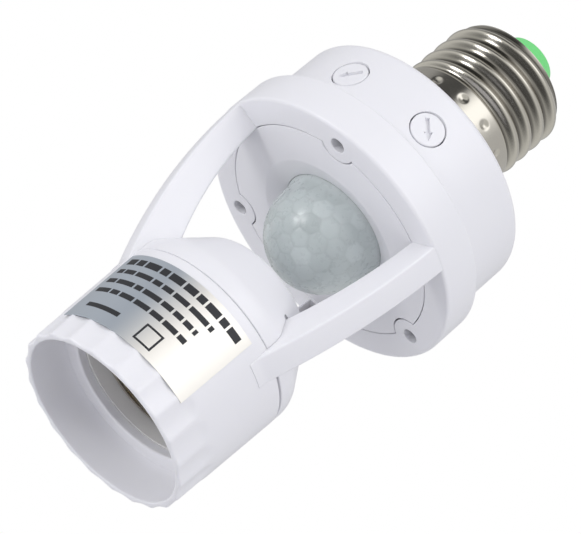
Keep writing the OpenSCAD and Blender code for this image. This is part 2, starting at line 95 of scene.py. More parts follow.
# Ledge inside the sleeve, and how far the sleeve's seam lies below its nominal height
LEDGE_Z = 8.5
LEDGE_T = 1.8
SEAM_DROP = 0.25

# Height above the seam where the rear cap's straight wall ends and its cone starts
CONE_H = 3

# Height of the knobs' axes above the step of the drum
KNOB_RISE = 6.0

# Sockets of a Mix node that blends colours: both colours, and the result
MIX_FIRST = 6
MIX_SECOND = 7
MIX_RESULT = 2


class HolderShape(bpy.types.PropertyGroup):
    """Sizes of the visible pieces in millimetres, which follow the CAD's."""

    sleeve_r: FloatProperty(
        name="Sleeve radius", description="Outside radius at the mouth", default=18.7, unit="NONE"
    )
    sleeve_flare: FloatProperty(
        name="Sleeve flare", description="Growth from mouth to seam", default=0.5, unit="NONE"
    )
    sleeve_h: FloatProperty(name="Sleeve height", description="Mouth to seam", default=25.0, unit="NONE")
    flutes: IntProperty(name="Flutes", description="Grip flutes round the mouth", default=22)
    flute_h: FloatProperty(
        name="Flute height", description="Length of each flute", default=8.0, unit="NONE"
    )
    flute_depth: FloatProperty(
        name="Flute depth", description="Depth of each flute", default=0.45, unit="NONE"
    )
    rear_h: FloatProperty(
        name="Rear cap height", description="Seam to flat top", default=14.0, unit="NONE"
    )
    rear_top_r: FloatProperty(
        name="Rear top radius", description="Radius of the flat top", default=11.8, unit="NONE"
    )
    window_h: FloatProperty(
        name="Window height", description="Rear cap to sensor face", default=19.4, unit="NONE"
    )
    arm_w: FloatProperty(name="Arm width", description="Width of each arm", default=5.3, unit="NONE")
    arm_t: FloatProperty(
        name="Arm thickness", description="Thickness at the drum", default=5.2, unit="NONE"
    )
    drum_r: FloatProperty(
        name="Band radius", description="Outside radius of the front band", default=28.4, unit="NONE"
    )
    band_h: FloatProperty(
        name="Band height", description="Height of the front band", default=8.1, unit="NONE"
    )
    back_r: FloatProperty(
        name="Back drum radius", description="Outside radius behind the step", default=26.0, unit="NONE"
    )
    back_h: FloatProperty(
        name="Back drum height", description="Height behind the step", default=14.7, unit="NONE"
    )
    neck_r: FloatProperty(
        name="Neck radius", description="Radius under the screw cap", default=14.5, unit="NONE"
    )
    neck_h: FloatProperty(name="Neck height", description="Height of the neck", default=5.6, unit="NONE")
    dome_r: FloatProperty(name="Dome radius", description="Radius of the lens", default=10.7, unit="NONE")
    dome_neck: FloatProperty(
        name="Dome foot", description="Straight part of the lens", default=3.0, unit="NONE"
    )
    dome_flare: FloatProperty(
        name="Dome flare", description="Growth of the lens at its foot", default=0.6, unit="NONE"
    )
    bezel_r: FloatProperty(
        name="Bezel radius", description="Outside of the bezel cone", default=15.3, unit="NONE"
    )
    knob_r: FloatProperty(
        name="Knob radius", description="Radius of a setting knob", default=3.25, unit="NONE"
    )
    time_angle: FloatProperty(
        name="Time knob", description="Direction in degrees", default=-70.0, unit="NONE"
    )
    lux_angle: FloatProperty(
        name="Light knob", description="Direction in degrees", default=-111.3, unit="NONE"
    )
    cap_r: FloatProperty(
        name="Cap crest radius", description="Thread crest of the screw cap", default=13.15, unit="NONE"
    )


class HolderLook(bpy.types.PropertyGroup):
    """Colours, as sRGB hex codes."""

    white: StringProperty(name="White plastic", description="Moulded shell colour", default="#EFEFF2")
    lens: StringProperty(name="Lens", description="Milky lens colour", default="#D2DAD9")
    nickel: StringProperty(name="Nickel", description="Plated screw cap", default="#CFCBC2")
    green: StringProperty(name="Insulator", description="Cap insulator colour", default="#7AE487")
    foil: StringProperty(name="Foil", description="Label foil colour", default="#FBF8F0")
    ink: StringProperty(name="Ink", description="Printed bars", default="#2B2C30")


class HolderStage(bpy.types.PropertyGroup):
    """Place and aim of the camera, and height of the floor."""

    turn: FloatProperty(
        name="Turn", description="Camera turn about the axis, degrees", default=25.0, unit="NONE"
    )
    swing: FloatProperty(
        name="Swing", description="Sideways aim of the camera, degrees", default=-0.0721, unit="NONE"
    )
    pitch: FloatProperty(
        name="Pitch", description="Upward tilt of the camera, degrees", default=28.382, unit="NONE"
    )
    roll: FloatProperty(
        name="Roll", description="Roll of the camera, degrees", default=49.735, unit="NONE"
    )
    out: FloatProperty(
        name="Distance", description="Horizontal distance in metres", default=0.4746, unit="LENGTH"
    )
    height: FloatProperty(
        name="Height", description="Camera height in metres", default=-0.20868, unit="LENGTH"
    )
    lens: FloatProperty(
        name="Lens", description="Focal length in millimetres", default=186.6, unit="NONE"
    )
    floor_z: FloatProperty(
        name="Floor", description="Height of the floor in metres", default=-1.1, unit="LENGTH"
    )


# Shapes


def rounded(corners, arc=6):
    """Closed outline from (r, z) or (r, z, fillet) corners."""
    out = []
    for i, (r, z, *fillet) in enumerate(corners):
        p = Vector((r, z))
        if not fillet:
            out.append(tuple(p))
            continue
        u = (Vector(corners[i - 1][:2]) - p).normalized()
        v = (Vector(corners[(i + 1) % len(corners)][:2]) - p).normalized()
        half = u.angle(v) / 2
        centre = p + (u + v).normalized() * fillet[0] / math.sin(half)
        first = p + u * fillet[0] / math.tan(half) - centre
        last = p + v * fillet[0] / math.tan(half) - centre
        sweep = first.angle(last)
        for k in range(arc + 1):
            a, b = sweep * (1 - k / arc), sweep * k / arc
            out.append(tuple(centre + (first * math.sin(a) + last * math.sin(b)) / math.sin(sweep)))
    return out


def dense(points, step):
    """The closed outline with no segment longer than step."""
    out = []
    for i, p in enumerate(points):
        p, q = Vector(p), Vector(points[(i + 1) % len(points)])
        n = max(1, math.ceil((q - p).length / step))
        out += [tuple(p.lerp(q, k / n)) for k in range(n)]
    return out


def shade(obj, angle=40):
    """Smooth shading that keeps edges sharper than angle."""
    mesh = obj.data
    for p in mesh.polygons:
        p.use_smooth = True
    mesh.set_sharp_from_angle(angle=math.radians(angle))


def mesh_object(name, verts, faces, smooth_angle=40, tones=None):
    """A smooth-shaded object from points in millimetres, with how dark each point's painted shading is."""
    mesh = bpy.data.meshes.new(name)
    mesh.from_pydata([Vector(v) * MM for v in verts], [], faces)
    if tones:
        mesh.attributes.new("painted_shading", "FLOAT", "POINT").data.foreach_set("value", tones)
    bm = bmesh.new()
    bm.from_mesh(mesh)
    bmesh.ops.remove_doubles(bm, verts=bm.verts, dist=1e-7)
    bmesh.ops.recalc_face_normals(bm, faces=bm.faces)
    bm.to_mesh(mesh)
    bm.free()
    obj = bpy.data.objects.new(name, mesh)
    bpy.context.scene.collection.objects.link(obj)
    shade(obj, smooth_angle)
    return obj


def lathe(name, outline, steps=192, warp=None, smooth_angle=40, tone=None):
    """Turns a closed (r, z) outline round the axis; warp and tone take the radius, height and angle."""
    n, verts, faces, tones = len(outline), [], [], []
    for j in range(steps):
        a = 2 * math.pi * j / steps
        for r, z in outline:
            if tone:
                tones.append(tone(r, z, a))
            r = warp(r, z, a) if warp else r
            verts.append((r * math.cos(a), r * math.sin(a), z))
    for j in range(steps):
        k = (j + 1) % steps
        faces += [(j * n + i, k * n + i, k * n + (i + 1) % n, j * n + (i + 1) % n) for i in range(n)]
    return mesh_object(name, verts, faces, smooth_angle, tones)


def loft(name, rows, smooth_angle=40):
    """Skin over rows of points, closed round each row and capped at both ends."""
    n, faces = len(rows[0]), []
    for j in range(len(rows) - 1):
        low, high = j * n, (j + 1) * n
        faces += [(low + i, low + (i + 1) % n, high + (i + 1) % n, high + i) for i in range(n)]
    faces += [tuple(range(n)), tuple((len(rows) - 1) * n + i for i in range(n))]
    return mesh_object(name, [p for row in rows for p in row], faces, smooth_angle)


def block(name, inner, half, levels):
    """Upright block for a cut, from its inner radius, half width and (height, outer radius) levels."""
    rows = [[(inner, -half, z), (r, -half, z), (r, half, z), (inner, half, z)] for z, r in levels]
    return loft(name, rows)


def place(obj, turn=0.0, move=(0, 0, 0), tilt=0.0):
    """Bakes a tilt about Y, a move in millimetres and a turn about the axis into the mesh."""
    obj.data.transform(
        Matrix.Rotation(math.radians(turn), 4, "Z")
        @ Matrix.Translation(Vector(move) * MM)
        @ Matrix.Rotation(math.radians(tilt), 4, "Y")
    )
    return obj


def cut(obj, *tools):
    """Takes the tools away from obj and removes them."""
    for tool in tools:
        mod = obj.modifiers.new("cut", "BOOLEAN")
        mod.operation, mod.solver, mod.object = "DIFFERENCE", "EXACT", tool
        dg = bpy.context.evaluated_depsgraph_get()
        made = bpy.data.meshes.new_from_object(obj.evaluated_get(dg))
        obj.modifiers.clear()
        obj.data = made
        bpy.data.objects.remove(tool)
    shade(obj)
    return obj


def smoothstep(a, b, x):
    """Soft rise from 0 where x is a to 1 where it is b."""
    t = min(1.0, max(0.0, (x - a) / (b - a)))
    return t * t * (3 - 2 * t)


# Materials


def srgb(code):
    """Linear RGBA from an sRGB hex code."""
    parts = [int(code[i : i + 2], 16) / 255 for i in (1, 3, 5)]
    return tuple(c / 12.92 if c <= 0.04045 else ((c + 0.055) / 1.055) ** 2.4 for c in parts) + (1.0,)


def add(tree, kind, inputs=None, **props):
    """Adds a shader node. Inputs are constants, or sockets to link from."""
    node = tree.nodes.new(kind)
    for key, value in props.items():
        setattr(node, key, value)
    for key, value in (inputs or {}).items():
        if isinstance(value, bpy.types.NodeSocket):
            tree.links.new(value, node.inputs[key])
        else:
            node.inputs[key].default_value = value
    return node


def surface(
    name, code, rough, metallic=0.0, ior=1.5, grain=0.4, rough_change=0.04, tint=0.015, bump=0.0, **extra
):
    """Principled material with a fine grain.

    Grain is the size of its marks and bump their height, both in millimetres. The marks
    change the roughness by rough_change to either side and darken by up to twice the tint.
    """
    mat = bpy.data.materials.new(name)
    mat.use_nodes = True
    tree = mat.node_tree
    shader = tree.nodes["Principled BSDF"]
    spot = add(tree, "ShaderNodeTexCoord").outputs["Object"]
    noise = add(
        tree, "ShaderNodeTexNoise",
        {"Vector": spot, "Scale": 1 / (grain * MM), "Detail": 3.0, "Roughness": 0.6},
    ).outputs["Fac"]
    rough_socket = add(
        tree, "ShaderNodeMapRange",
        {"Value": noise, "To Min": rough - rough_change, "To Max": rough + rough_change},
    ).outputs["Result"]
    base = srgb(code)
    dark = tuple(c * (1 - 2 * tint) for c in base[:3]) + (1.0,)
    colour = add(
        tree, "ShaderNodeMix", {"Factor": noise, MIX_FIRST: dark, MIX_SECOND: base}, data_type="RGBA"
    ).outputs[MIX_RESULT]
    tree.links.new(colour, shader.inputs["Base Color"])
    tree.links.new(rough_socket, shader.inputs["Roughness"])
    shader.inputs["Metallic"].default_value = metallic
    shader.inputs["IOR"].default_value = ior
    for key, value in extra.items():
        shader.inputs[key.replace("_", " ")].default_value = value
    if bump:
        normal = add(tree, "ShaderNodeBump", {"Height": noise, "Strength": 1.0, "Distance": bump * MM})
        tree.links.new(normal.outputs["Normal"], shader.inputs["Normal"])
    return mat


def paint_shading(mat, shadow, depth):
    """Paints shade into the base colour: mixes it towards the shadow colour as far as the mesh's painted
    shading says.
    """
    tree = mat.node_tree
    target = tree.nodes["Principled BSDF"].inputs["Base Color"]
    base = target.links[0].from_socket
    tone = add(tree, "ShaderNodeAttribute", attribute_name="painted_shading").outputs["Fac"]
    amount = add(tree, "ShaderNodeMath", {0: tone, 1: depth}, operation="MULTIPLY").outputs[0]
    toned = add(
        tree, "ShaderNodeMix", {"Factor": amount, MIX_FIRST: base, MIX_SECOND: srgb(shadow)},
        data_type="RGBA",
    ).outputs[MIX_RESULT]
    tree.links.new(toned, target)
    return mat


def make_materials(look):
    """All materials by the record's slot name, and the ink."""
    return {
        # ABS, moulded satin: clean white with a soft highlight, and a faint glow at thin edges
        "white_plastic": surface(
            "ABS satin white", look.white, 0.34, ior=1.54, grain=0.5, bump=0.002, tint=0.004,
            Subsurface_Weight=0.12, Subsurface_Radius=(0.9, 0.9, 1.0), Subsurface_Scale=0.0008,
        ),
        # High density polyethylene, moulded: milky and waxy, with a broad highlight on each lenslet;
        # painted shade darkens the creases and gives each lenslet a different shade, for the light that
        # each facet catches
        "lens_plastic": paint_shading(surface(
            "HDPE milky lens", look.lens, 0.28, ior=1.53, grain=1.2, tint=0.02,
            Subsurface_Weight=0.6, Subsurface_Radius=(0.9, 1.0, 0.95), Subsurface_Scale=0.002,
        ), "#86908F", 0.4),
        # Nickel plated brass sheet: bright and warm grey, with painted shade in the roots of the thread
        "nickel": paint_shading(surface(
            "Nickel plate bright", look.nickel, 0.2, metallic=1.0, grain=2.5, rough_change=0.06,
        ), "#2A261D", 0.7),
        # Zinc plated steel: dull grey metal
        "screw_steel": surface("Zinc plated steel", "#A9A9A4", 0.35, metallic=1.0, grain=0.3),
        # Glass filled thermoset, moulded: strong green with a clear highlight
        "green_insulator": surface(
            "Thermoset green gloss", look.green, 0.3, ior=1.55, grain=0.8, tint=0.02,
        ),
        # Aluminium foil label: satin sheen, with a painted reflection that turns it blue grey towards one
        # end
        "foil": paint_shading(surface(
            "Aluminium foil satin", look.foil, 0.3, metallic=0.3, grain=6.0, rough_change=0.05, tint=0.02,
        ), "#A7B1BB", 0.9),
        # Screen ink: near black and matt
        "ink": surface("Label ink matt", look.ink, 0.55, grain=0.3),
        # PBT, moulded: even blue with little sheen
        "blue_plastic": surface("PBT blue matt", "#2C62A6", 0.45, ior=1.57, grain=0.6),
        # Epoxy moulding: near black and dry
        "black_plastic": surface("Epoxy black matt", "#1E1E21", 0.5, ior=1.57, grain=0.3),
        # PBT, moulded: mustard yellow with some sheen
        "yellow_plastic": surface("PBT yellow satin", "#C9A12D", 0.4, ior=1.57, grain=0.5),
        # Phenolic paper laminate: tan with darker fibres
        "board": surface("Phenolic laminate tan", "#B08A46", 0.45, ior=1.58, grain=0.25, tint=0.08),
        # Lacquered ceramic: brick red with a fairly tight highlight
        "cell_ceramic": surface("Lacquered ceramic red", "#BE6440", 0.35, ior=1.6, grain=0.3),
        # Lacquer: pale blue grey, satin
        "resistor_body": surface("Lacquer blue grey", "#7F9DAB", 0.4, ior=1.5, grain=0.2),
        # PVC wire insulation, extruded: soft and even, in brown and in blue
        "brown_wire": surface("PVC brown", "#6B3E26", 0.4, ior=1.53, grain=0.4),
        "blue_wire": surface("PVC blue", "#3362AD", 0.4, ior=1.53, grain=0.4),
        # Thermoset, moulded: drier and rougher white than the shell
        "insulating_body": surface("Thermoset white matt", "#F0EFEC", 0.5, ior=1.55, grain=0.6, bump=0.004),
        # Brass strip, stamped: yellow metal with blurred reflections
        "brass_strip": surface("Brass stamped", "#C9A85A", 0.28, metallic=1.0, grain=0.8),
    }


def finish_piece(obj, mats, slot, body="holder", stands_for=(), paint=None):
    """Gives a piece its material, or a paint over it, its CAD body and the nodes it stands for."""
    obj.data.materials.clear()
    obj.data.materials.append(mats[paint or slot])
    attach(obj, body)
    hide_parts(*stands_for)
    return obj


# Pieces


def heights(s):
    """Heights that the pieces share, in millimetres."""
    face = s.sleeve_h + s.rear_h + s.window_h
    step = face + s.band_h
    back = step + s.back_h
    neck = back + s.neck_h
    thread = neck + SKIRT_H
    rim = thread + TURNS * PITCH + RIM_H
    knob = step + KNOB_RISE
    return {
        "face": face, "step": step, "back": back, "neck": neck, "knob": knob, "thread": thread, "rim": rim,
    }


def screw_spot(s):
    """Place of a screw on the face, before its turn about the axis."""
    return (s.drum_r - SCREW_INSET, 0, heights(s)["face"])


def bow(rise, run):
    """Radius of an arc that starts upright, and moves run sideways over rise."""
    return (rise * rise + run * run) / (2 * run)


def sleeve_piece(s):
    """Socket sleeve with grip flutes that end in rounds, and a wider gap at one side of its seam."""
    seam_r, top_z = s.sleeve_r + s.sleeve_flare, s.sleeve_h - SEAM_DROP
    bore, ledge_r, ledge_top = s.sleeve_r - 1.8, 14.3, LEDGE_Z + LEDGE_T
    deep_r, mouth_r = s.sleeve_r - 1.5, s.sleeve_r - 1.4
    outline = dense(
        rounded([
            (s.sleeve_r, 0, 0.45), (seam_r, top_z, 0.2), (bore, top_z, 0.1),
            (bore, ledge_top), (ledge_r, ledge_top, 0.1), (ledge_r, LEDGE_Z, 0.4),
            (deep_r, LEDGE_Z, 0.2), (mouth_r, 0, 0.35),
        ]),
        0.45,
    )
    flute_r, softness = 6.0, 0.05
    flute_end = s.flute_h - math.sqrt(2 * flute_r * s.flute_depth)
    fade_depth, fade_length = 1.2, 0.9

    def warp(r, z, a):
        share = min(1.0, (r - s.sleeve_r + fade_depth) / fade_length)
        if z > s.flute_h + 0.2 or share < 0:
            return r
        period = 2 * math.pi / s.flutes
        side = ((a / period) % 1.0 - 0.5) * period * s.sleeve_r
        depth = s.flute_depth - (side * side + max(0.0, z - flute_end) ** 2) / (2 * flute_r)
        return r - 0.5 * share * (depth + math.hypot(depth, softness))

    steps_per_flute, edge_angle = 16, 30
    sleeve = lathe("sleeve", outline, s.flutes * steps_per_flute, warp, edge_angle)
    gap_from, gap_to, gap_step = -22, 82, 4
    low, high, inner, outer = top_z - 0.45, top_z + 1, 17.3, 21
    section = ((inner, low), (outer, low), (outer, high), (inner, high))
    turns = [math.radians(a) for a in range(gap_from, gap_to + 1, gap_step)]
    gap = loft("seam_gap", [[(r * math.cos(a), r * math.sin(a), z) for r, z in section] for a in turns])
    cut(sleeve, gap)
    shade(sleeve, edge_angle)
    return sleeve


def band_piece(s):
    """Front band with the face ring and three screw wells."""
    face, step = heights(s)["face"], heights(s)["step"]
    bore, lip_r, inside = s.drum_r - 5.45, s.back_r + 0.35, face + FACE_T
    band = lathe("front_band", rounded([
        (bore, face, 0.15), (s.drum_r, face, 0.7), (s.drum_r, step, 0.5),
        (lip_r, step, 0.1), (lip_r, inside), (bore, inside),
    ], 8), 256)
    well = rounded([(0, -1), (WELL_MOUTH_R, -1), (WELL_MOUTH_R, 0), (WELL_R, 0.12), (WELL_R, 3), (0, 3)])
    for turn in SCREW_TURNS:
        cut(band, place(lathe("well", well, 48), turn, screw_spot(s)))
    return band


def boss_piece(s, index):
    """Screw boss that bulges into the face plate, with the well and the seat of the screw head."""
    sunk, shank_r = 0.02, 1.0
    boss = lathe(f"boss_{index}", rounded([
        (WELL_MOUTH_R, sunk), (BOSS_R, sunk, 0.1), (BOSS_R, BOSS_H), (shank_r, BOSS_H),
        (shank_r, SCREW_SEAT), (WELL_R, SCREW_SEAT), (WELL_R, sunk + 0.12),
    ]), 72)
    return place(boss, SCREW_TURNS[index], screw_spot(s))


def arm_piece(s, index):
    """One arm, bounded by two arcs that leave the band upright, and square at its lower end."""
    face, seam_r = heights(s)["face"], s.sleeve_r + s.sleeve_flare
    spring, arc_end, low = face + 5.1, s.sleeve_h - 4.1, s.sleeve_h - 4.7
    root_r, meet_rise = s.drum_r - s.arm_t - 0.4, 5
    meet_z = s.sleeve_h + CONE_H + meet_rise
    meet_r = seam_r + (s.rear_top_r - seam_r) * meet_rise / (s.rear_h - CONE_H)
    outer = bow(spring - arc_end, s.drum_r - s.sleeve_r)
    inner = bow(spring - meet_z, root_r - meet_r)
    half, proud, sleeve_bore, cap_bore = s.arm_w / 2, 0.15, 17.4, 15.4
    levels, arc, edge_parts = 60, 5, 4
    rows = []
    for i in range(levels + 1):
        z = low + (face + FACE_T - 0.3 - low) * i / levels
        skin = s.sleeve_r + s.sleeve_flare * min(1.0, z / s.sleeve_h) + proud
        r_out = max(skin, s.drum_r - outer + math.sqrt(outer**2 - (spring - z) ** 2) - 0.01)
        r_in = root_r - inner + math.sqrt(inner**2 - (spring - z) ** 2)
        r_in = max(r_in, sleeve_bore if z < s.sleeve_h + 0.3 else cap_bore)
        box = rounded([(r_out, half, 0.4), (r_out, -half, 0.4), (r_in, -half, 0.5), (r_in, half, 0.5)], arc)
        row = []
        for k, (r, t) in enumerate(box):
            ahead = Vector(box[(k + 1) % len(box)]) - Vector((r, t))
            corner_ends = k % (arc + 1) == arc
            for part in range(edge_parts if corner_ends else 1):
                p = Vector((r, t)) + ahead * part / edge_parts
                bend = (p.x - r_in) / (r_out - r_in) * (r_out - math.sqrt(r_out**2 - p.y * p.y))
                row.append((p.x - bend, p.y, z))
        rows.append(row)
    arm = loft(f"arm_{index}", rows, 35)
    if index == 0:
        cut(arm, block("wire_slot", 10, 2.1, ((face - 8.9, 23.6), (face - 0.4, 26.0))))
        shade(arm, 35)
    return place(arm, ARM_TURNS[index])


def rear_cap_piece(s):
    """Rear cap of the socket with its rounded shoulder and three arm notches, each with a small hole."""
    seam_r, seam_z, wall = s.sleeve_r + s.sleeve_flare, s.sleeve_h, 1.7
    low, cone_z, top = seam_z - SEAM_DROP + 0.12, seam_z + CONE_H, seam_z + s.rear_h
    cup_r, skirt_r, skirt_z = seam_r - 4.0, s.sleeve_r - 1.95, seam_z - 4.5
    cap = lathe("rear_cap", rounded([
        (seam_r - 0.05, low, 0.25), (seam_r, cone_z, 5.0), (s.rear_top_r + 0.15, top, 4.0),
        (0, top), (0, top - wall), (s.rear_top_r - 1.9, top - wall),
        (cup_r, cone_z), (cup_r, skirt_z), (skirt_r, skirt_z), (skirt_r, low),
    ], 8), 192)
    half, notch_low, notch_top, past = s.arm_w / 2 + 0.05, seam_z - 0.6, seam_z + 8.3, 25
    hole_r, hole_tilt, hole_spot = 0.55, 60, (16.4, -half - 0.1, seam_z + 8.25)
    hole = [(0, -3), (hole_r, -3), (hole_r, 3), (0, 3)]
    for turn in ARM_TURNS:
        cut(cap, place(block("notch", 15.2, half, ((notch_low, past), (notch_top, past))), turn))
        cut(cap, place(lathe("notch_end", hole, 24), turn, hole_spot, hole_tilt))
    return cap


def plate_piece(s):
    """Inner face plate with the bezel cone, notched round the screw bosses."""
    face = heights(s)["face"]
    rim, lens_r = s.drum_r - 5.63, s.dome_r + s.dome_flare + 0.08
    plate = lathe("sensor_plate_skin", rounded([
        (rim, face, 0.15), (rim, face + PLATE_T), (lens_r, face + PLATE_T),
        (lens_r, face + LENS_SEAT, 0.1), (s.bezel_r, face, 1.2),
    ]), 256)
    notch_r, mouth_r = 4.0, 4.15
    notch = rounded([(0, -1), (mouth_r, -1), (mouth_r, 0), (notch_r, 0.15), (notch_r, 4), (0, 4)])
    for turn in SCREW_TURNS:
        cut(plate, place(lathe("boss_notch", notch, 64), turn, screw_spot(s)))
    return plate


def dome_cells():
    """Directions of near-regular hexagonal cells over a sphere, tipped so that none lies on the axis."""
    bm = bmesh.new()
    bmesh.ops.create_icosphere(bm, subdivisions=2, radius=1.0)
    tip = Matrix.Rotation(0.35, 3, "X") @ Matrix.Rotation(0.4, 3, "Z")
    cells = [(tip @ v.co).normalized() for v in bm.verts]
    cells += [(tip @ f.calc_center_median()).normalized() for f in bm.faces]
    bm.free()
    return cells


def dome_rings(s, base):
    """Radius and height of the dome's rings, from its pole over its flared foot to its seat."""
    centre_z = base - s.dome_neck
    dome_rows, foot_rows = 140, 12
    rings = []
    for i in range(dome_rows + 1):
        polar = math.pi / 2 * i / dome_rows
        rings.append((s.dome_r * math.sin(polar), centre_z - s.dome_r * math.cos(polar)))
    for i in range(1, foot_rows + 1):
        rise = i / foot_rows
        rings.append((s.dome_r + s.dome_flare * rise * rise, centre_z + s.dome_neck * rise))
    return rings + [(s.dome_r + s.dome_flare, base + 1.1)]


def dome_piece(s):
    """Lens dome of soft hexagonal lenslets, with painted shade in its creases and a different painted shade
    on each lenslet, for how each facet catches the light.
    """
    base = heights(s)["face"] + LENS_SEAT
    centre_z = base - s.dome_neck
    cells = np.array([tuple(c) for c in dome_cells()])
    pick = random.Random(3)
    facet_shade = np.array([pick.random() for _ in cells])
    # Angle between neighbouring cells and angle over which their painted shades blend, in radians
    pitch, blend = 0.347, 0.02
    # Sink of a lenslet's edge, depth of the crease round it, and the crease's width as a share of the pitch
    edge_sink, crease_depth, crease_width = 0.2, 0.03, 0.12
    steps, rings = 320, dome_rings(s, base)
    verts, faces, tones = [], [], []
    for r, z in rings:
        for j in range(steps):
            a = 2 * math.pi * j / steps
            out = np.array((r * math.cos(a), r * math.sin(a), z - centre_z))
            length = float(np.linalg.norm(out))
            reach = np.arccos(np.clip(cells @ (out / length), -1, 1))
            first, second = np.sort(reach)[:2]
            share = np.exp((first - reach) / blend)
            fade = 1 - smoothstep(1.2, s.dome_neck, z - centre_z)
            crease = math.exp(-(((second - first) / pitch / crease_width) ** 2)) * fade
            sink = crease_depth * crease + edge_sink * (first / pitch) ** 2 * fade
            scale = 1 - sink / length
            # Painted shade: darker in the creases, and darker on some lenslets than on others, for how the
            # facets catch the light
            tones.append(0.2 * crease + 0.7 * float(share @ facet_shade / share.sum()) * fade)
            verts.append((out[0] * scale, out[1] * scale, centre_z + out[2] * scale))
    for i in range(len(rings) - 1):
        low, high = i * steps, (i + 1) * steps
        for j in range(steps):
            k = (j + 1) % steps
            faces.append((low + j, low + k, high + k, high + j))
    return mesh_object("dome", verts, faces, 60, tones)


def drum_piece(s):
    """Back drum with neck and the two knob bores."""
    h = heights(s)
    back, neck, low, roof = h["back"], h["neck"], h["step"] - 0.4, h["back"] - 2
    inside_r, neck_bore = s.back_r - 1.8, 11.5
    drum = lathe("back_drum", rounded([
        (s.back_r, low), (s.back_r, back, 1.8), (s.neck_r, back, 0.5), (s.neck_r, neck, 0.6),
        (neck_bore, neck), (neck_bore, roof), (inside_r, roof, 1.0), (inside_r, low),
    ], 8), 256)
    bore_r, mouth_r = s.knob_r + 0.24, s.knob_r + 0.45
    bore = rounded([(0, -4), (bore_r, -4), (bore_r, -0.3), (mouth_r, 0.2), (mouth_r, 2), (0, 2)])
    for angle in (s.time_angle, s.lux_angle):
        cut(drum, place(lathe("bore", bore, 72), angle, (s.back_r, 0, h["knob"]), 90))
    return drum


def knob_piece(s, name, angle, turn):
    """Round knob with a recessed arrow, facing outward along its direction."""
    r, thick, sunk = s.knob_r, 2.1, 0.1
    knob = lathe(name, rounded([(0, -thick), (r, -thick), (r, 0, 0.25), (0, 0)]), 72)
    tip, neck, barb, shaft = 2.2, 0.5, 0.85, 0.42
    arrow = [
        (-tip, -shaft), (neck, -shaft), (neck, -barb), (tip, 0), (neck, barb), (neck, shaft), (-tip, shaft),
    ]
    floor_z, floor_grow, mouth_grow = -0.6, 0.97, 1.03
    levels = ((floor_z, floor_grow), (0.02, mouth_grow), (1, mouth_grow))
    tool = loft("arrow", [[(x * grow, y * grow, z) for x, y in arrow] for z, grow in levels])
    tool.data.transform(Matrix.Rotation(math.radians(turn), 4, "Z"))
    cut(knob, tool)
    return place(knob, angle, (s.back_r - sunk, 0, heights(s)["knob"]), 90)


def cap_piece(s):
    """Screw cap shell: crimped skirt, right-hand knuckle thread and a turned-in rim."""
    h = heights(s)
    neck, start, rim = h["neck"], h["thread"], h["rim"]
    end = start + TURNS * PITCH
    foot, shoulder = neck + 0.05, end + 0.7
    skirt, root, rim_r, inside_r = s.cap_r - 0.15, s.cap_r - THREAD_DEPTH, 10.7, 11.2
    rows = 140
    outline = [(skirt, foot)]
    outline += [(root, foot + (shoulder - neck - 0.05) * i / rows) for i in range(1, rows + 1)]
    outline += rounded([
        (root, shoulder, 0.8), (11.3, rim, 0.3), (rim_r, rim - 0.15, 0.1), (rim_r, rim - 1.2),
    ], 5)
    outline += [(inside_r, end), (inside_r, foot)]
    first_crest = 9.76
    # Height, squared radius and depth of the dents, and their turn as a share of their spacing
    dent_z, dent_spread, dent_depth, dent_turn = 3.9, 1.45, 0.4, 0.25

    def crest(z, a):
        return 0.5 + 0.5 * math.cos(2 * math.pi * ((z - neck - first_crest) / PITCH - a / (2 * math.pi)))

    def plain(r, z):
        return r < root - 0.001 or z > shoulder

    # Painted shade in the roots of the thread, where the nickel is made darker
    def tone(r, z, a):
        if plain(r, z):
            return 0.0
        return (1 - crest(z, a)) ** 4 * smoothstep(start - 0.6, start + 0.6, z)

    def warp(r, z, a):
        if plain(r, z):
            return r
        thread = root + THREAD_DEPTH * crest(z, a) * (1 - smoothstep(end - 0.3, shoulder, z))
        wall = skirt + (thread - skirt) * smoothstep(start - 1.1, start + 0.5, z)
        nearest = math.floor(a / (2 * math.pi) * DENTS + dent_turn) + dent_turn
        side = (a - 2 * math.pi * nearest / DENTS) * skirt
        reach = (side * side + (z - neck - dent_z) ** 2) / dent_spread
        wall -= dent_depth * max(0.0, 1 - reach) ** 2
        return wall - 0.25 * (1 - smoothstep(neck, neck + 0.5, z))

    return lathe("screw_cap", outline, 312, warp, 50, tone)


def insulator_piece(s):
    """Glossy green insulator between the shell and the centre contact."""
    rim = heights(s)["rim"]
    low, nose = rim - 2, rim + 6.2
    return lathe("insulator", rounded([
        (0, low), (10.3, low), (10.3, rim, 0.1), (6.5, rim + 2.2, 1.0), (5.3, nose, 0.5), (0, nose),
    ]), 128)


def contact_piece(s):
    """Domed centre contact."""
    rim = heights(s)["rim"]
    return lathe("centre_contact", rounded([
        (0, rim + 6.0), (4.4, rim + 6.0), (4.35, rim + 6.35, 0.1), (0, rim + 7.08),
    ]), 96)


def shell_piece(s):
    """Threaded socket shell, right-hand knuckle thread."""
    low = LEDGE_Z + LEDGE_T + 2.4
    high = low + TURNS * PITCH
    crest, root, sheet, hole_r, rows = 13.35, 12.25, 0.4, 7.6, 72
    floor_low, floor_top = high + 2.3, high + 2.7
    inner = [(root, low + (high - low) * i / rows) for i in range(rows + 1)]
    floor = [(root, floor_low), (hole_r, floor_low), (hole_r, floor_top), (root + sheet, floor_top)]
    outline = inner + floor + [(r + sheet, z) for r, z in reversed(inner)]

    def warp(r, z, a):
        if z > high + 0.001:
            return r
        wave = 0.5 + 0.5 * math.cos(2 * math.pi * ((z - low) / PITCH - a / (2 * math.pi)))
        fade = smoothstep(low - 0.01, low + 0.8, z) * (1 - smoothstep(high - 1, high, z))
        return r + (crest - root) * wave * fade

    return lathe("threaded_shell", outline, 160, warp, 50)


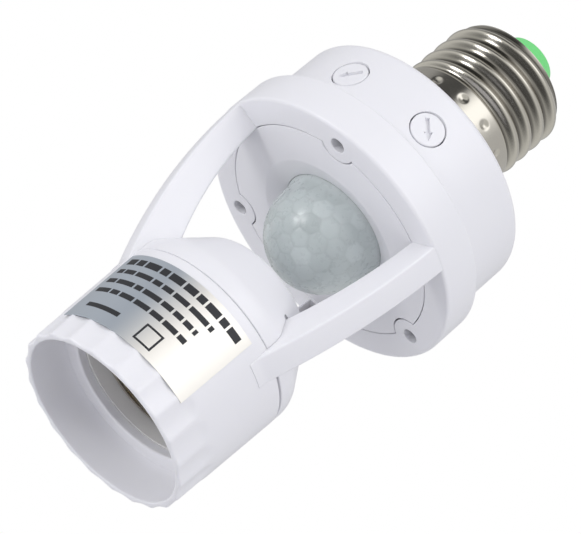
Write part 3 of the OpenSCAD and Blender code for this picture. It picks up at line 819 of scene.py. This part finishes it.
def patch(s, verts, faces, turns, levels, lift):
    """Adds a thin patch on the sleeve between two directions and two heights, with its edges sunk in."""
    (a0, a1), (z0, z1) = turns, levels
    sink, degrees_a_step = 0.05, 1.5
    n = max(2, math.ceil((a1 - a0) / degrees_a_step))
    base = len(verts)
    section = [(z0, -sink), (z0, lift), (z1, lift), (z1, -sink)]
    for i in range(-1, n + 2):
        a = math.radians(a0 + (a1 - a0) * min(n, max(0, i)) / n)
        for z, extra in section:
            r = s.sleeve_r + s.sleeve_flare * z / s.sleeve_h + (-sink if i in (-1, n + 1) else extra)
            verts.append((r * math.cos(a), r * math.sin(a), z))
    for i in range(n + 2):
        for k in range(3):
            near = base + i * 4 + k
            faces.append((near, near + 1, near + 5, near + 4))


def label_piece(s):
    """Plain foil label on the sleeve, with a painted reflection that runs from blue grey at one end to near
    white at the other.
    """
    verts, faces = [], []
    patch(s, verts, faces, (-140, -46), (5.5, s.sleeve_h - 2.3), 0.08)
    # Painted reflection: blue grey at the far end, fading to near white
    tones = [1 - smoothstep(-104, -76, math.degrees(math.atan2(y, x))) for x, y, _ in verts]
    return mesh_object("label", verts, faces, 30, tones)


def bars_piece(s):
    """Rows of plain bars on the label, with one long bar and an open square below them."""
    verts, faces = [], []
    pick = random.Random(7)
    lift, start, row_pitch, gap, least = 0.1, -135.5, 2.66, 1.4, 2
    top = s.sleeve_h - 4.3
    for row, (end, tall) in enumerate(((-49, 0.75), (-64, 0.55), (-68, 0.55), (-66, 0.55))):
        a = start
        z = top - row_pitch * row
        while a < end:
            width = min(pick.uniform(4.5, 13.0), end - a)
            if width > least:
                patch(s, verts, faces, (a, a + width), (z - tall, z + tall), lift)
            a += width + gap
    low = top - 12.0
    patch(s, verts, faces, (-129, -104), (low - 0.5, low + 0.5), lift)
    left, right, half, line, side = -89, -77, 1.9, 0.4, 1.2
    for turns, below, above in (
        ((left, right), -half, line - half), ((left, right), half - line, half),
        ((left, left + side), -half, half), ((right - side, right), -half, half),
    ):
        patch(s, verts, faces, turns, (low + below, low + above), lift)
    return mesh_object("label_bars", verts, faces, 30)


_made = {}


def materials():
    """The material table, made once."""
    if not _made:
        _made.update(make_materials(bpy.context.scene.holder_look))
    return _made


class LAMPHOLDER_OT_frame(bpy.types.Operator):
    """Builds the sleeve, the arms and the front band, one moulding"""

    bl_idname = "lampholder.frame"
    bl_label = "Arm Frame"
    bl_options = {"REGISTER", "UNDO"}

    def execute(self, context):
        s, mats = context.scene.holder_shape, materials()
        pieces = [sleeve_piece(s), band_piece(s)]
        pieces += [make(s, k) for make in (arm_piece, boss_piece) for k in range(3)]
        for obj in pieces:
            finish_piece(obj, mats, "white_plastic", stands_for=["arm_frame"])
        return {"FINISHED"}


class LAMPHOLDER_OT_socket(bpy.types.Operator):
    """Builds the rear cap and the threaded shell of the lamp socket"""

    bl_idname = "lampholder.socket"
    bl_label = "Lamp Socket"
    bl_options = {"REGISTER", "UNDO"}

    def execute(self, context):
        s, mats = context.scene.holder_shape, materials()
        finish_piece(rear_cap_piece(s), mats, "white_plastic", stands_for=["socket_rear_cap"])
        finish_piece(shell_piece(s), mats, "nickel", stands_for=["socket_shell"])
        return {"FINISHED"}


class LAMPHOLDER_OT_sensor(bpy.types.Operator):
    """Builds the face plate and the faceted lens dome"""

    bl_idname = "lampholder.sensor"
    bl_label = "Sensor Face"
    bl_options = {"REGISTER", "UNDO"}

    def execute(self, context):
        s, mats = context.scene.holder_shape, materials()
        finish_piece(plate_piece(s), mats, "white_plastic", stands_for=["sensor_plate"])
        finish_piece(dome_piece(s), mats, "lens_plastic", stands_for=["lens_dome"])
        return {"FINISHED"}


class LAMPHOLDER_OT_drum(bpy.types.Operator):
    """Builds the back drum and its two setting knobs"""

    bl_idname = "lampholder.drum"
    bl_label = "Back Drum"
    bl_options = {"REGISTER", "UNDO"}

    def execute(self, context):
        s, mats = context.scene.holder_shape, materials()
        finish_piece(drum_piece(s), mats, "white_plastic", stands_for=["rear_housing"])
        time_knob = knob_piece(s, "time_dial_knob", s.time_angle, 47)
        finish_piece(time_knob, mats, "white_plastic", "time_dial", ["time_knob"])
        lux_knob = knob_piece(s, "lux_dial_knob", s.lux_angle, -48)
        finish_piece(lux_knob, mats, "white_plastic", "lux_dial", ["lux_knob"])
        return {"FINISHED"}


class LAMPHOLDER_OT_cap(bpy.types.Operator):
    """Builds the screw cap, its insulator and its centre contact"""

    bl_idname = "lampholder.cap"
    bl_label = "Screw Cap"
    bl_options = {"REGISTER", "UNDO"}

    def execute(self, context):
        s, mats = context.scene.holder_shape, materials()
        finish_piece(cap_piece(s), mats, "nickel", stands_for=["cap_shell"])
        finish_piece(insulator_piece(s), mats, "green_insulator", stands_for=["cap_insulator"])
        finish_piece(contact_piece(s), mats, "nickel", stands_for=["cap_contact"])
        return {"FINISHED"}


class LAMPHOLDER_OT_label(bpy.types.Operator):
    """Builds the foil label with plain bars"""

    bl_idname = "lampholder.label"
    bl_label = "Label"
    bl_options = {"REGISTER", "UNDO"}

    def execute(self, context):
        s, mats = context.scene.holder_shape, materials()
        finish_piece(label_piece(s), mats, "foil", stands_for=["rating_label"])
        finish_piece(bars_piece(s), mats, "foil", paint="ink")
        return {"FINISHED"}


class LAMPHOLDER_OT_inside(bpy.types.Operator):
    """Gives every CAD node that is still shown its material"""

    bl_idname = "lampholder.inside"
    bl_label = "Inner Parts"
    bl_options = {"REGISTER", "UNDO"}

    def execute(self, context):
        mats = materials()
        slots = {p["node"]: p["material_slot"] for p in frame["record"]["subparts"]}
        for name, obj in frame["nodes"].items():
            obj.data.materials.clear()
            obj.data.materials.append(mats[slots[name]])
        return {"FINISHED"}


def studio_world():
    """White for the camera, soft for the plastic, and tall panels for the metal to mirror."""
    world = bpy.data.worlds.new("studio")
    world.use_nodes = True
    tree = world.node_tree
    direction = add(tree, "ShaderNodeTexCoord").outputs["Generated"]
    way = add(tree, "ShaderNodeSeparateXYZ", {0: direction}).outputs
    around = add(tree, "ShaderNodeMath", {0: way["Y"], 1: way["X"]}, operation="ARCTAN2").outputs[0]
    turn = add(
        tree, "ShaderNodeMapRange", {"Value": around, "From Min": -math.pi, "From Max": math.pi}
    ).outputs["Result"]
    panels = add(tree, "ShaderNodeValToRGB", {"Fac": turn})
    ramp = panels.color_ramp
    ramp.elements.remove(ramp.elements[0])
    # Brightness that the metal mirrors, by direction. The ramp holds it halved, because it stops at 1.
    stops = (
        (-180, 0.42), (-165, 0.42), (-140, 0.1), (-98, 0.07), (-80, 1.2), (-68, 1.7), (-44, 1.7),
        (-28, 0.95), (-8, 0.62), (60, 0.6), (145, 0.42),
    )
    ramp_scale = 2.0
    for k, (angle, value) in enumerate(stops):
        stop = ramp.elements.new((angle + 180) / 360) if k else ramp.elements[0]
        stop.position = (angle + 180) / 360
        stop.color = (value / ramp_scale, value / ramp_scale, value / ramp_scale, 1)
    # All of it dims towards the ground and towards the top
    under = add(
        tree, "ShaderNodeMapRange",
        {"Value": way["Z"], "From Min": -0.6, "From Max": -0.25, "To Min": 0.12, "To Max": 1.0},
    ).outputs["Result"]
    above = add(
        tree, "ShaderNodeMapRange",
        {"Value": way["Z"], "From Min": 0.85, "From Max": 0.98, "To Min": 1.0, "To Max": 0.5},
    ).outputs["Result"]
    level = add(tree, "ShaderNodeMath", {0: under, 1: above}, operation="MULTIPLY").outputs[0]
    strength = add(tree, "ShaderNodeMath", {0: level, 1: ramp_scale}, operation="MULTIPLY").outputs[0]
    # Away from the height that the panels stand at, the flanks of the thread mirror an even grey
    offset = add(tree, "ShaderNodeMath", {0: way["Z"], 1: 0.5}, operation="SUBTRACT").outputs[0]
    away = add(tree, "ShaderNodeMath", {0: offset}, operation="ABSOLUTE").outputs[0]
    flank = add(
        tree, "ShaderNodeMapRange", {"Value": away, "From Min": 0.2, "From Max": 0.45}
    ).outputs["Result"]
    even_grey = (0.36, 0.36, 0.35, 1.0)
    seen_in_metal = add(
        tree, "ShaderNodeMix",
        {"Factor": flank, MIX_FIRST: panels.outputs["Color"], MIX_SECOND: even_grey}, data_type="RGBA",
    ).outputs[MIX_RESULT]
    mirror = add(tree, "ShaderNodeBackground", {"Color": seen_in_metal, "Strength": strength}).outputs[0]
    soft = add(tree, "ShaderNodeBackground", {"Color": srgb("#EBEBF1"), "Strength": 0.71}).outputs[0]
    white = add(tree, "ShaderNodeBackground", {"Color": srgb("#FFFFFF"), "Strength": 1.0}).outputs[0]
    rays = add(tree, "ShaderNodeLightPath").outputs
    lit = add(tree, "ShaderNodeMixShader", {0: rays["Is Glossy Ray"], 1: soft, 2: mirror}).outputs[0]
    seen = add(tree, "ShaderNodeMixShader", {0: rays["Is Camera Ray"], 1: lit, 2: white}).outputs[0]
    tree.links.new(seen, tree.nodes["World Output"].inputs["Surface"])
    return world


def stage_camera(scene, c):
    """Camera at the photo's angle."""
    turn = Matrix.Rotation(math.radians(c.turn), 4, "Z")
    aim = Matrix.Rotation(math.radians(c.turn + c.swing), 4, "Z")
    tilt = Matrix.Rotation(math.radians(90 + c.pitch), 4, "X")
    roll = Matrix.Rotation(math.radians(c.roll), 4, "Z")
    camera = bpy.data.objects.new("camera", bpy.data.cameras.new("camera"))
    scene.collection.objects.link(camera)
    camera.data.lens = c.lens
    camera.data.sensor_width = 36
    camera.data.clip_start, camera.data.clip_end = 0.01, 20
    spot = turn @ Vector((0, -c.out, c.height))
    camera.matrix_world = Matrix.Translation(spot) @ aim @ tilt @ roll
    scene.camera = camera
    return camera


def stage_lights(scene, camera):
    """Round lamps, placed by their direction as the camera sees them. Only the key shows in gloss."""
    basis = camera.matrix_world.to_3x3()
    middle, distance = Vector((0, 0, 0.055)), 0.7
    for name, side, size, watts in (
        ("key", (-0.65, 0.53, 0.55), 0.22, 1.15),
        ("fill", (0.8, 0.25, 0.75), 0.6, 1.25),
        ("left", (-0.95, -0.45, 0.5), 0.6, 0.75),
        ("right", (0.73, -0.39, 0.57), 0.6, 0.55),
        ("top", (0.1, 1.0, 0.25), 0.6, 0.6),
    ):
        lamp = bpy.data.objects.new(name, bpy.data.lights.new(name, "AREA"))
        scene.collection.objects.link(lamp)
        lamp.data.size, lamp.data.energy, lamp.data.shape = size, watts, "DISK"
        lamp.visible_glossy = name == "key"
        way = (basis @ Vector(side)).normalized()
        lamp.location = middle + way * distance
        lamp.rotation_mode = "QUATERNION"
        lamp.rotation_quaternion = way.to_track_quat("Z", "Y")


def stage_floor(z):
    """Wide pale floor at a height in metres, which the metal doesn't mirror."""
    half = 3000
    corners = [(-half, -half, 0), (half, -half, 0), (half, half, 0), (-half, half, 0)]
    floor = mesh_object("floor", corners, [(0, 1, 2, 3)])
    floor.location.z = z
    floor.visible_glossy = False
    # Matt paper: a pale ground without gloss
    floor.data.materials.append(surface("Paper pale", "#F4F4F6", 0.8, grain=3.0, tint=0.005))


class LAMPHOLDER_OT_stage(bpy.types.Operator):
    """Sets the camera at the photo's angle, the studio lights, the floor and the white surroundings"""

    bl_idname = "lampholder.stage"
    bl_label = "Studio"
    bl_options = {"REGISTER", "UNDO"}

    def execute(self, context):
        scene = context.scene
        stage_lights(scene, stage_camera(scene, scene.holder_stage))
        stage_floor(scene.holder_stage.floor_z)
        scene.world = studio_world()
        scene.view_settings.view_transform = "Standard"
        return {"FINISHED"}


class LAMPHOLDER_PT_panel(bpy.types.Panel):
    """Buttons of the lamp holder"""

    bl_idname = "LAMPHOLDER_PT_panel"
    bl_label = "Lamp Holder"
    bl_space_type = "VIEW_3D"
    bl_region_type = "UI"
    bl_category = "Lamp Holder"

    def draw(self, context):
        for group in (context.scene.holder_shape, context.scene.holder_look, context.scene.holder_stage):
            box = self.layout.box()
            for key in type(group).__annotations__:
                box.prop(group, key)
        for step in STEPS:
            self.layout.operator(step.bl_idname)


STEPS = (
    LAMPHOLDER_OT_frame, LAMPHOLDER_OT_socket, LAMPHOLDER_OT_sensor, LAMPHOLDER_OT_drum,
    LAMPHOLDER_OT_cap, LAMPHOLDER_OT_label, LAMPHOLDER_OT_inside, LAMPHOLDER_OT_stage,
)
CLASSES = (HolderShape, HolderLook, HolderStage, *STEPS, LAMPHOLDER_PT_panel)


def register():
    for c in CLASSES:
        bpy.utils.register_class(c)
    bpy.types.Scene.holder_shape = PointerProperty(type=HolderShape)
    bpy.types.Scene.holder_look = PointerProperty(type=HolderLook)
    bpy.types.Scene.holder_stage = PointerProperty(type=HolderStage)


def unregister():
    del bpy.types.Scene.holder_stage, bpy.types.Scene.holder_look, bpy.types.Scene.holder_shape
    for c in reversed(CLASSES):
        bpy.utils.unregister_class(c)


def main():
    """Builds everything."""
    register()
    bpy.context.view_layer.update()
    for step in STEPS:
        family, action = step.bl_idname.split(".")
        getattr(getattr(bpy.ops, family), action)()


if __name__ == "__main__":
    main()
